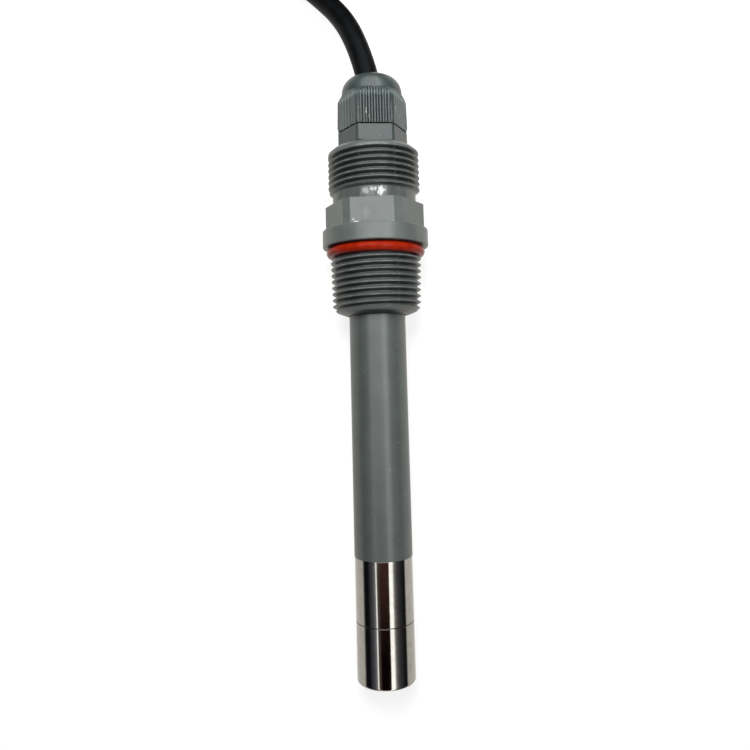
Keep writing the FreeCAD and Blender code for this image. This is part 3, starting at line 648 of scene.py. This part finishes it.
def revolved(mesh, line, closed=False):
    """Adds a shell turned from a profile."""
    turns = [2 * pi * k / AROUND for k in range(AROUND)]
    rings = []
    for point in line:
        rings.append([mesh.verts.new((point.x * cos(a), point.x * sin(a), point.y)) for a in turns])
    pairs = list(zip(rings, rings[1:]))
    if closed:
        pairs.append((rings[-1], rings[0]))
    for low, high in pairs:
        for k in range(AROUND):
            n = (k + 1) % AROUND
            mesh.faces.new([low[k], low[n], high[n], high[k]])


def piece(name, mesh, body, slot, replaces=(), sharp=40, rounding=None, finish=None):
    """Lays a bmesh down as a finished piece of the sensor.

    Edges steeper than sharp degrees stay crisp, and rounding is the width of a bevel in mm.
    """
    bmesh.ops.remove_doubles(mesh, verts=mesh.verts, dist=0.0005)
    bmesh.ops.recalc_face_normals(mesh, faces=mesh.faces)
    mesh.transform(LAY)
    data = bpy.data.meshes.new(name)
    mesh.to_mesh(data)
    mesh.free()
    data.materials.append(FINISHES[finish or slot])
    data.polygons.foreach_set("use_smooth", [True] * len(data.polygons))
    data.set_sharp_from_angle(angle=radians(sharp))
    made = bpy.data.objects.new(name, data)
    bpy.context.scene.collection.objects.link(made)
    if rounding:
        bevel = made.modifiers.new("rounding", "BEVEL")
        bevel.width = rounding * MM
        bevel.segments = 3
        bevel.limit_method = "ANGLE"
        bevel.angle_limit = radians(18)
        bevel.harden_normals = True
    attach(made, body)
    if replaces:
        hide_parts(*replaces)


def with_mesh(mesh, other):
    """Moves a finished mesh into a bmesh."""
    mesh.from_mesh(other)
    bpy.data.meshes.remove(other)


def outline(flats, corners, turn):
    """A hexagon with its corners cut flat, one side facing the front."""
    half = sqrt((corners / 2) ** 2 - (flats / 2) ** 2)
    points = []
    for side in range(6):
        spin = Matrix.Rotation(radians(60 * side + turn), 2)
        points += [spin @ Vector((-half, -flats / 2)), spin @ Vector((half, -flats / 2))]
    return points


def prism(mesh, points, low, high):
    """Adds an upright prism on an outline."""
    bottom = [mesh.verts.new((p.x, p.y, low)) for p in points]
    top = [mesh.verts.new((p.x, p.y, high)) for p in points]
    mesh.faces.new(bottom[::-1])
    mesh.faces.new(top)
    for k in range(len(points)):
        n = (k + 1) % len(points)
        mesh.faces.new([bottom[k], bottom[n], top[n], top[k]])


# Screw threads and the nut's ribs

def screw_thread(name, material, sizes):
    """A helical thread on a round or tapered stem, cut back by a chamfer at each end.

    A flat grid is wound up: one column is one angle, and the rows climb the stem. The grooves
    past the height Run Out are left full.
    """
    tree = Shape(name, sizes)
    s = tree.size
    grid = tree.node("GeometryNodeMeshGrid", None, {
        "Size X": 1.0, "Size Y": 1.0, "Vertices X": s["Columns"], "Vertices Y": s["Rows"]})
    u, v = tree.apart(tree.term("GeometryNodeInputPosition"))[:2]
    turn = u + 0.5
    long = s["End"] - s["Start"]
    climb = (v + 0.5) * (long / s["Pitch"] + 1.0)
    height = (s["Start"] + s["Pitch"] * (climb - 1.0 + turn)).most(s["Start"]).least(s["End"])
    wound = (height - s["Crest"]) / s["Pitch"] - turn
    rise = abs(wound.part() - 0.5) * 2.0
    groove = s["Crest"] + s["Pitch"] * (wound.whole() + turn + 0.5)
    run_out = groove.spread(s["Run Out"] - RUN_OUT_FADE, s["Run Out"])
    flank = rise.spread(0.12, 0.92, smooth=False)
    tooth = (flank * 0.7 + rise.spread(0.06, 0.96) * 0.3).most(run_out)
    share = (height - s["Start"]) / long
    crest = s["Start Radius"] * (1.0 - share) + s["End Radius"] * share
    radius = crest - s["Depth"] * (1.0 - tooth)
    radius = radius.least(s["Start Rim"] + (height - s["Start"]) * s["Start Slope"])
    radius = radius.least(s["End Rim"] + (s["End"] - height) * s["End Slope"])
    angle = turn * (2 * pi)
    position = tree.together(radius * angle.cosine(), radius * angle.sine(), height)
    moved = tree.term("GeometryNodeSetPosition", None, {"Geometry": grid.outputs[0], "Position": position})
    return tree.finish(moved, material).mesh()


def ribbed_grip(name, material, sizes):
    """The nut's hexagon with fine upright ribs in each side, sloping in at its top."""
    tree = Shape(name, sizes)
    s = tree.size
    grid = tree.node("GeometryNodeMeshGrid", None, {
        "Size X": 1.0, "Size Y": 1.0, "Vertices X": s["Columns"], "Vertices Y": s["Rows"]})
    u, v = tree.apart(tree.term("GeometryNodeInputPosition"))[:2]
    around = (u + 0.5) * 6.0
    along = (around.part() - 0.5) * (s["Flats"] / sqrt(3))
    gap = abs((along / s["Rib Pitch"] + 0.5 * (s["Ribs"] - 1.0)).part() - 0.5) * 2.0
    edge = 1.0 - (abs(along) / (s["Ribs"] * s["Rib Pitch"] * 0.5)).spread(0.95, 0.99)
    cut = s["Rib Depth"] * (1.0 - gap.spread(0.0, 0.62)) * edge
    face = s["Flats"] * 0.5 - cut
    angle = around.whole() * (pi / 3) + s["Turn"]
    share = (v + 0.5).spread(0.0, 0.25, smooth=False)
    upper = (v + 0.5).spread(0.25, 1.0, smooth=False)
    height = s["Start"] + (s["Cone"] - s["Start"]) * share + (s["End"] - s["Cone"]) * upper
    x = along * angle.cosine() + face * angle.sine()
    y = along * angle.sine() - face * angle.cosine()
    reach = tree.math("SQRT", x * x + y * y)
    limit = s["Corners"] * 0.5 + (s["Shoulder"] - s["Corners"] * 0.5) * share
    limit = limit + (s["Top"] - s["Shoulder"]) * upper
    limit = limit.least(s["Corners"] * 0.5 - 0.35 + (height - s["Start"]) * 2.0)
    scale = (limit / reach).least(1.0)
    position = tree.together(x * scale, y * scale, height)
    moved = tree.term("GeometryNodeSetPosition", None, {"Geometry": grid.outputs[0], "Position": position})
    return tree.finish(moved, material).mesh()


def fitting_pieces():
    """The moulded pipe fitting: two threads, seal seat, flange, hexagon and neck."""
    lower = bmesh.new()
    with_mesh(lower, screw_thread("lower_thread", FINISHES["lower_thread"], {
        "Start": END_FACE_TOP, "End": SEAT_START, "Pitch": THREAD_PITCH, "Crest": LOWER_FIRST_CREST,
        "Depth": THREAD_DEPTH,
        "Start Radius": LOWER_THREAD_R - LOWER_THREAD_LENGTH * THREAD_TAPER / 2, "End Radius": LOWER_THREAD_R,
        "Start Rim": END_FACE_R, "Start Slope": 1.0, "End Rim": SEAT_RIM_R, "End Slope": 1.6,
        "Run Out": FLANGE_START, "Columns": AROUND + 1, "Rows": 190}))
    revolved(lower, rounded([
        (END_FACE_R, END_FACE_TOP), (9.8, FITTING_START + 0.38, 0.3),
        (8.6, FITTING_START, 0.15), (8.2, FITTING_START + 0.8)]))
    revolved(lower, rounded([
        (SEAT_RIM_R + LAP, SEAT_START - LAP / 2), (SEAT_R, SEAT_START + LAP, 0.1), (SEAT_R, FLANGE_START)]))
    piece("fitting_lower_thread", lower, "sensor", "fitting_plastic", ["threaded_fitting"],
          finish="lower_thread")

    body = bmesh.new()
    revolved(body, rounded([
        (8.4, FLANGE_START), (FLANGE_R, FLANGE_START, FLANGE_EDGE),
        (FLANGE_R, HEX_START, FLANGE_EDGE), (9.0, HEX_START)]))
    hexagon = outline(FITTING_HEX, FITTING_HEX_CORNERS, FITTING_TURN)
    prism(body, hexagon, HEX_START - 0.6, NECK_START)
    revolved(body, rounded([
        (NECK_R + 0.3, NECK_START - 0.2), (NECK_R, NECK_START + 0.35), (NECK_R, UPPER_START + 0.1)]))
    piece("fitting_body", body, "sensor", "fitting_plastic", sharp=30, rounding=0.22, finish="fitting_body")

    upper = bmesh.new()
    thread_end = FITTING_END - 0.05
    with_mesh(upper, screw_thread("upper_thread", FINISHES["upper_thread"], {
        "Start": UPPER_START, "End": thread_end, "Pitch": THREAD_PITCH, "Crest": UPPER_FIRST_CREST,
        "Depth": THREAD_DEPTH, "Start Radius": UPPER_R, "End Radius": UPPER_R - 0.05,
        "Start Rim": NECK_R, "Start Slope": 1.7, "End Rim": UPPER_RIM_R, "End Slope": 1.1,
        "Run Out": UPPER_RUN_OUT, "Columns": AROUND + 1, "Rows": 160}))
    revolved(upper, rounded([
        (UPPER_RIM_R + LAP, thread_end - LAP / 2), (12.1, FITTING_END, 0.1), (7.8, FITTING_END)]))
    piece("fitting_upper_thread", upper, "sensor", "fitting_plastic", finish="upper_thread")


fitting_pieces()


def flange_ring():
    """The silicone ring under the flange."""
    mesh = bmesh.new()
    half = RING_SECTION / 2
    middle = Vector((SEAT_R + RING_FIT + half, FLANGE_START - half))
    steps = 40
    line = [middle + Vector((half * cos(2 * pi * k / steps), half * sin(2 * pi * k / steps)))
            for k in range(steps)]
    revolved(mesh, line, closed=True)
    piece("flange_ring", mesh, "sensor", "red_silicone", ["flange_o_ring"], 60)


flange_ring()


def dome_profile():
    """The nut's dome, its mouth and its bore, from the top of the ribs round and down."""
    line = [Vector((DOME_R - 0.15, DOME_START - 0.5)), Vector((DOME_R, DOME_START)),
            Vector((DOME_R, DOME_CENTRE))]
    centre = Vector((DOME_R - DOME_ROUND, DOME_CENTRE))
    reach = acos((MOUTH_R - DOME_R + DOME_ROUND) / DOME_ROUND)
    steps = 24
    for step in range(1, steps + 1):
        angle = reach * step / steps
        line.append(centre + DOME_ROUND * Vector((cos(angle), sin(angle))))
    end = line[-1]
    lip = [Vector((-0.12, 0.06)), Vector((-0.3, -0.02)), Vector((-0.45, -0.5))]
    line += [end + step for step in lip]
    bore = [(end.x - 0.6, CONE_START), (SOCKET_R, NUT_THREAD_END + 1.0),
            (NUT_BORE_R, NUT_THREAD_END + 0.6), (NUT_BORE_R, NUT_START)]
    return line + [Vector(place) for place in bore]


def gland_pieces():
    """The cable gland's lower hexagon and its ribbed, domed nut."""
    lower = bmesh.new()
    prism(lower, outline(GLAND_HEX, GLAND_HEX_CORNERS, GLAND_TURN), GLAND_HEX_START, GLAND_HEX_END)
    revolved(lower, rounded([
        (NUT_THREAD_R, GLAND_HEX_START + 1.2), (NUT_THREAD_R, NUT_THREAD_END), (SOCKET_R, NUT_THREAD_END),
        (SOCKET_R, SOCKET_START), (CABLE_R - 0.2, SOCKET_START)]))
    piece("gland_hexagon", lower, "sensor", "gland_plastic", ["gland_body"], 30, rounding=0.2)

    nut = bmesh.new()
    with_mesh(nut, ribbed_grip("ribbed_grip", FINISHES["gland_plastic"], {
        "Flats": NUT_FLATS, "Corners": NUT_CORNERS, "Shoulder": NUT_SHOULDER_R, "Top": DOME_R,
        "Start": NUT_START, "Cone": CONE_START, "End": DOME_START, "Turn": radians(GLAND_TURN),
        "Ribs": float(RIBS), "Rib Pitch": RIB_PITCH, "Rib Depth": RIB_DEPTH,
        "Columns": 6 * 112 + 1, "Rows": 33}))
    revolved(nut, dome_profile())
    revolved(nut, [Vector((NUT_BORE_R, NUT_START)), Vector((9.0, NUT_START))])
    piece("gland_dome_nut", nut, "gland_nut", "gland_plastic", ["gland_nut"], 42, finish="nut_plastic")


gland_pieces()


def tube_and_head():
    """The plastic tube, the steel barrel and the screw cap."""
    tube = bmesh.new()
    tube_end = FITTING_START + 1.0
    revolved(tube, rounded([
        (TUBE_BORE_R, TUBE_START), (TUBE_R, TUBE_START, 0.12), (TUBE_R, tube_end), (7.0, tube_end)]))
    piece("immersion_tube", tube, "sensor", "tube_plastic", ["sensor_tube"])

    barrel = bmesh.new()
    spigot_end = TUBE_START + REAR_SPIGOT_LENGTH
    revolved(barrel, rounded([
        (BARREL_BORE_R, BARREL_FACE), (BARREL_THREAD_R, BARREL_FACE), (BARREL_THREAD_R, HEAD_START),
        (STEEL_R, HEAD_START, 0.05), (STEEL_R, TUBE_START, 0.06), (REAR_SPIGOT_R, TUBE_START),
        (REAR_SPIGOT_R, spigot_end), (BARREL_BORE_R, spigot_end), (BARREL_BORE_R, BARREL_FACE)]))
    piece("steel_barrel", barrel, "sensor", "polished_steel", ["probe_head"])

    cap = bmesh.new()
    seat_end = CAP_LIP + WINDOW_STACK
    revolved(cap, rounded([
        (WINDOW_SEAT_R, CAP_LIP), (CAP_APERTURE_R, CAP_LIP), (CAP_APERTURE_R, 0.0, 0.15),
        (STEEL_R, 0.0, CAP_EDGE), (STEEL_R, CAP_LENGTH, 0.05), (CAP_BORE_R, CAP_LENGTH),
        (CAP_BORE_R, seat_end), (WINDOW_SEAT_R, seat_end), (WINDOW_SEAT_R, CAP_LIP)]))
    piece("steel_cap", cap, "cap", "polished_steel", ["sensing_cap"])


tube_and_head()


# Cable

# Heights between which the gland holds the cable straight
GLAND_GRIP = (155.35, 160.5)

# The free run from the gland to the hank, in the frame's millimetres
ROUTE = [
    (0.0, 81.6, 18.47),
    (-2.8, 94.4, 18.5),
    (-7.7, 108.8, 14.3),
    (-16.4, 121.4, 8.6),
    (-27.4, 133.2, 4.6),
    (-34.2, 148.0, 3.5),
    (-35.0, 161.5, 3.5),
]
HANK_COLUMNS = (35.0, 28.0, 21.0)
HANK_LAYERS = 6
HANK_NEAR = 169.5
HANK_LEG = 56.0
TIE_THICKNESS = 1.2
TAIL_HEIGHT = HANK_LAYERS * 2 * CABLE_R + TIE_THICKNESS + CABLE_R
TAIL_END = HANK_NEAR + 39.0
LEG_STEPS = 4
ARC_STEPS = 8

# A bend's control points lie this many times its radius from its middle
SWELL = 1 / (0.75 + 0.25 * cos(pi / ARC_STEPS))


def layer(number):
    """The height of the cable's middle in a layer of the hank."""
    return CABLE_R * (2 * number + 1)


def hank_section(section, start, end):
    """Points of one quarter of a turn: left leg, far bend, right leg or near bend."""
    steps = LEG_STEPS if section in (0, 2) else ARC_STEPS
    points = []
    for step in range(steps):
        share = step / steps
        eased = share * share * (3 - 2 * share)
        radius, height = (a + (b - a) * eased for a, b in zip(start, end))
        if section == 0:
            points.append((-radius, HANK_NEAR + HANK_LEG * share, height))
        elif section == 2:
            points.append((radius, HANK_NEAR + HANK_LEG * (1 - share), height))
        else:
            wide = radius * (1 if step == 0 else SWELL)
            side, way = (-1, 1) if section == 1 else (1, -1)
            middle = HANK_NEAR + (HANK_LEG if section == 1 else 0)
            points.append((side * wide * cos(pi * share), middle + way * wide * sin(pi * share), height))
    return points


def hank_turns():
    """The put-away length: the outer column wound up, the middle one down and the inner one up."""
    outer, middle, inner = HANK_COLUMNS
    top = HANK_LAYERS - 1
    moves = []
    for number in range(top):
        low, high = (outer, layer(number)), (outer, layer(number + 1))
        moves += [(0, low, low), (1, low, low), (2, low, low), (3, low, high)]
    low, high = (outer, layer(top)), (middle, layer(top))
    moves += [(0, low, low), (1, low, low), (2, low, high), (3, high, high), (0, high, high)]
    for number in range(top, 0, -1):
        high, low = (middle, layer(number)), (middle, layer(number - 1))
        moves += [(1, high, low), (2, low, low), (3, low, low)]
        moves += [(0, low, low)] if number > 1 else [(0, low, (inner, layer(0)))]
    low = (inner, layer(0))
    moves += [(1, low, low), (2, low, low)]
    for number in range(top):
        low, high = (inner, layer(number)), (inner, layer(number + 1))
        moves += [(3, low, high), (0, high, high), (1, high, high), (2, high, high)]
    moves.append((3, (inner, layer(top)), (middle, TAIL_HEIGHT)))
    points = []
    for move in moves:
        points += hank_section(*move)
    return points + [(-middle, HANK_NEAR, TAIL_HEIGHT), (-middle, TAIL_END, TAIL_HEIGHT)]


def cable():
    """The whole cable as one cord, from inside the gland to its bare end."""
    straight = [tuple(on_axis(height) / MM) for height in GLAND_GRIP]
    points = straight + ROUTE + hank_turns()
    data = bpy.data.curves.new("cable", "CURVE")
    data.dimensions = "3D"
    spline = data.splines.new("NURBS")
    spline.points.add(len(points) - 1)
    for place, point in zip(spline.points, points):
        place.co = (*(c * MM for c in point), 1)
    spline.order_u = 3
    spline.use_endpoint_u = True
    spline.resolution_u = 6
    data.bevel_depth = CABLE_R * MM
    data.bevel_resolution = 8
    data.use_fill_caps = True
    data.materials.append(FINISHES["cable_jacket"])
    made = bpy.data.objects.new("cable", data)
    bpy.context.scene.collection.objects.link(made)
    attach(made, "sensor")
    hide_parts("cable_run", "cable_hank", "cable_tail")
    colours = ("brown", "blue", "black", "yellow")
    on_it = ["hank_tie_left", "hank_tie_right", "cable_end_sleeve"]
    on_it += [colour + end for colour in colours for end in ("_core", "_ferrule")]


cable()


# Studio

ROOM_REACH = 3.0
VAULT_R = 1.2
VAULT_SIDES = 96
DARK = (0.004, 0.004, 0.005)
MAROON = (0.034, 0.015, 0.013)
LAMP = (1.0, 1.0, 0.97)
WEAK_LAMP = (0.80, 0.80, 0.77)
STRIP_POWER = 2.4
CEILING_POWER = 2.1

# Colours round the vault, by the angle from straight up
VAULT_COLOURS = [
    (-89, (0.06, 0.06, 0.06)),
    (-84, DARK),
    (-68, DARK),
    (-56, (0.03, 0.03, 0.035)),
    (-46, (0.06, 0.06, 0.07)),
    (-36, (0.16, 0.16, 0.17)),
    (-34, WEAK_LAMP),
    (-31, WEAK_LAMP),
    (-29, (0.06, 0.055, 0.05)),
    (-16, MAROON),
    (18, MAROON),
    (20, LAMP),
    (32, LAMP),
    (38, (0.22, 0.22, 0.22)),
    (46, (0.07, 0.07, 0.07)),
    (57, (0.03, 0.03, 0.032)),
    (72, (0.012, 0.012, 0.013)),
    (86, DARK),
    (89, (0.06, 0.06, 0.06)),
]


def stage_mesh(name, corners, faces, material):
    """Adds a part of the room that isn't part of the object."""
    data = bpy.data.meshes.new(name)
    data.from_pydata(corners, [], faces)
    data.materials.append(material)
    made = bpy.data.objects.new(name, data)
    bpy.context.scene.collection.objects.link(made)
    return made


def pale_floor():
    """A white sheet that glows where it is seen, dimmer in what polished surfaces mirror of it."""
    made = Finish("pale_floor", Specular_IOR_Level=0.0, Roughness=1.0)
    path = made.node("ShaderNodeLightPath")
    glossy = Term(made, path.outputs["Is Glossy Ray"])
    x, y = made.apart(made.place)[:2]
    mirrored = abs(x).spread(0.02, 0.5, 0.62, 0.34) * glossy
    away = made.math("SQRT", x * x + y * y)
    direct = away.spread(0.09, 0.45, 0.82, 0.965).most(y.spread(0.055, 0.095, 0.82, 0.92))
    seen = made.math("MAXIMUM", direct * Term(made, path.outputs["Is Camera Ray"]), mirrored)
    seen = made.math("MAXIMUM", seen, path.outputs["Is Transmission Ray"])
    made.shader.inputs["Base Color"].default_value = (0.30, 0.30, 0.30, 1)
    made.feed(made.shader.inputs["Emission Color"], made.mix(glossy, (1.0, 1.0, 1.0), (1.0, 0.965, 0.88)))
    made.feed(made.shader.inputs["Emission Strength"], seen)
    wide = ROOM_REACH
    corners = [(-wide, -wide, 0), (wide, -wide, 0), (wide, wide, 0), (-wide, wide, 0)]
    stage_mesh("floor", corners, [[0, 1, 2, 3]], made.material)


pale_floor()


def around_vault(angle):
    """Where an angle from straight up, in degrees, falls on the vault's scale of 0 to 1."""
    return angle / 180 + 0.5


def dark_vault():
    """The dim room that polished steel mirrors, with two lamp strips along the sensor.

    Overhead it goes from black, far past the sensing end, to pale at the gland.
    """
    material = bpy.data.materials.new("dim_room")
    material.use_nodes = True
    graph = Graph(material.node_tree)
    graph.tree.nodes.clear()
    x, y, z = graph.apart(graph.term("ShaderNodeTexCoord", output="Object"))
    turn = x.angle_from(z) / pi + 0.5
    stops = [(around_vault(angle), colour) for angle, colour in VAULT_COLOURS]
    ramp = graph.node("ShaderNodeValToRGB", {"stops": stops}, {"Fac": turn})
    low, high = around_vault(-24), around_vault(-15)
    between = turn.spread(low, high) * (1.0 - turn.spread(around_vault(15), around_vault(18)))
    power = (1.0 - between * y.spread(-0.62, -0.44, 0.92, 0.0)) * STRIP_POWER
    strips = graph.node("ShaderNodeEmission", None, {"Color": ramp.outputs[0], "Strength": power})
    overhead = turn.spread(around_vault(-44), around_vault(-26))
    overhead = overhead * (1.0 - turn.spread(around_vault(24), around_vault(42)))
    overhead = overhead * y.spread(-0.44, 0.05)
    ceiling = graph.node("ShaderNodeEmission", None, {"Strength": overhead * CEILING_POWER})
    light = graph.node("ShaderNodeAddShader", None, {0: strips.outputs[0], 1: ceiling.outputs[0]})
    graph.node("ShaderNodeOutputMaterial", None, {"Surface": light.outputs[0]})
    corners = []
    for k in range(VAULT_SIDES + 1):
        angle = pi * k / VAULT_SIDES
        across, up = VAULT_R * cos(angle), VAULT_R * sin(angle)
        corners += [(across, -ROOM_REACH, up), (across, ROOM_REACH, up)]
    faces = [[2 * k, 2 * k + 2, 2 * k + 3, 2 * k + 1] for k in range(VAULT_SIDES)]
    made = stage_mesh("vault", corners, faces, material)
    made.visible_camera = False
    made.visible_diffuse = False
    made.visible_shadow = False
    made.visible_transmission = False
    made.visible_volume_scatter = False


dark_vault()


def soft_lamp(name, place, aim, size, power):
    """A lamp that lights the sensor but isn't mirrored in it."""
    data = bpy.data.lights.new(name, "AREA")
    data.shape = "RECTANGLE"
    data.size, data.size_y = size
    data.energy = power
    made = bpy.data.objects.new(name, data)
    bpy.context.scene.collection.objects.link(made)
    made.location = place
    made.rotation_euler = (Vector(aim) - Vector(place)).to_track_quat("-Z", "Y").to_euler()
    made.visible_glossy = False


soft_lamp("window", place=(-0.02, 0.13, 0.31), aim=(0, 0.03, 0.02), size=(0.14, 0.12), power=0.98)
soft_lamp("side_light", place=(0.27, -0.01, 0.15), aim=(0, 0, 0.02), size=(0.2, 0.2), power=0.26)

WORLD_FILL = 0.12


def white_world():
    """White where it is seen or mirrored, and a weak light on everything."""
    world = bpy.data.worlds.new("room")
    bpy.context.scene.world = world
    world.use_nodes = True
    room = Graph(world.node_tree)
    back = room.tree.nodes["Background"]
    rays = room.node("ShaderNodeLightPath")
    plain = room.math("MAXIMUM", rays.outputs["Is Camera Ray"], rays.outputs["Is Glossy Ray"])
    plain = room.math("MAXIMUM", plain, rays.outputs["Is Transmission Ray"])
    back.inputs["Color"].default_value = (1, 1, 1, 1)
    room.feed(back.inputs["Strength"], plain * (1 - WORLD_FILL) + WORLD_FILL)


white_world()
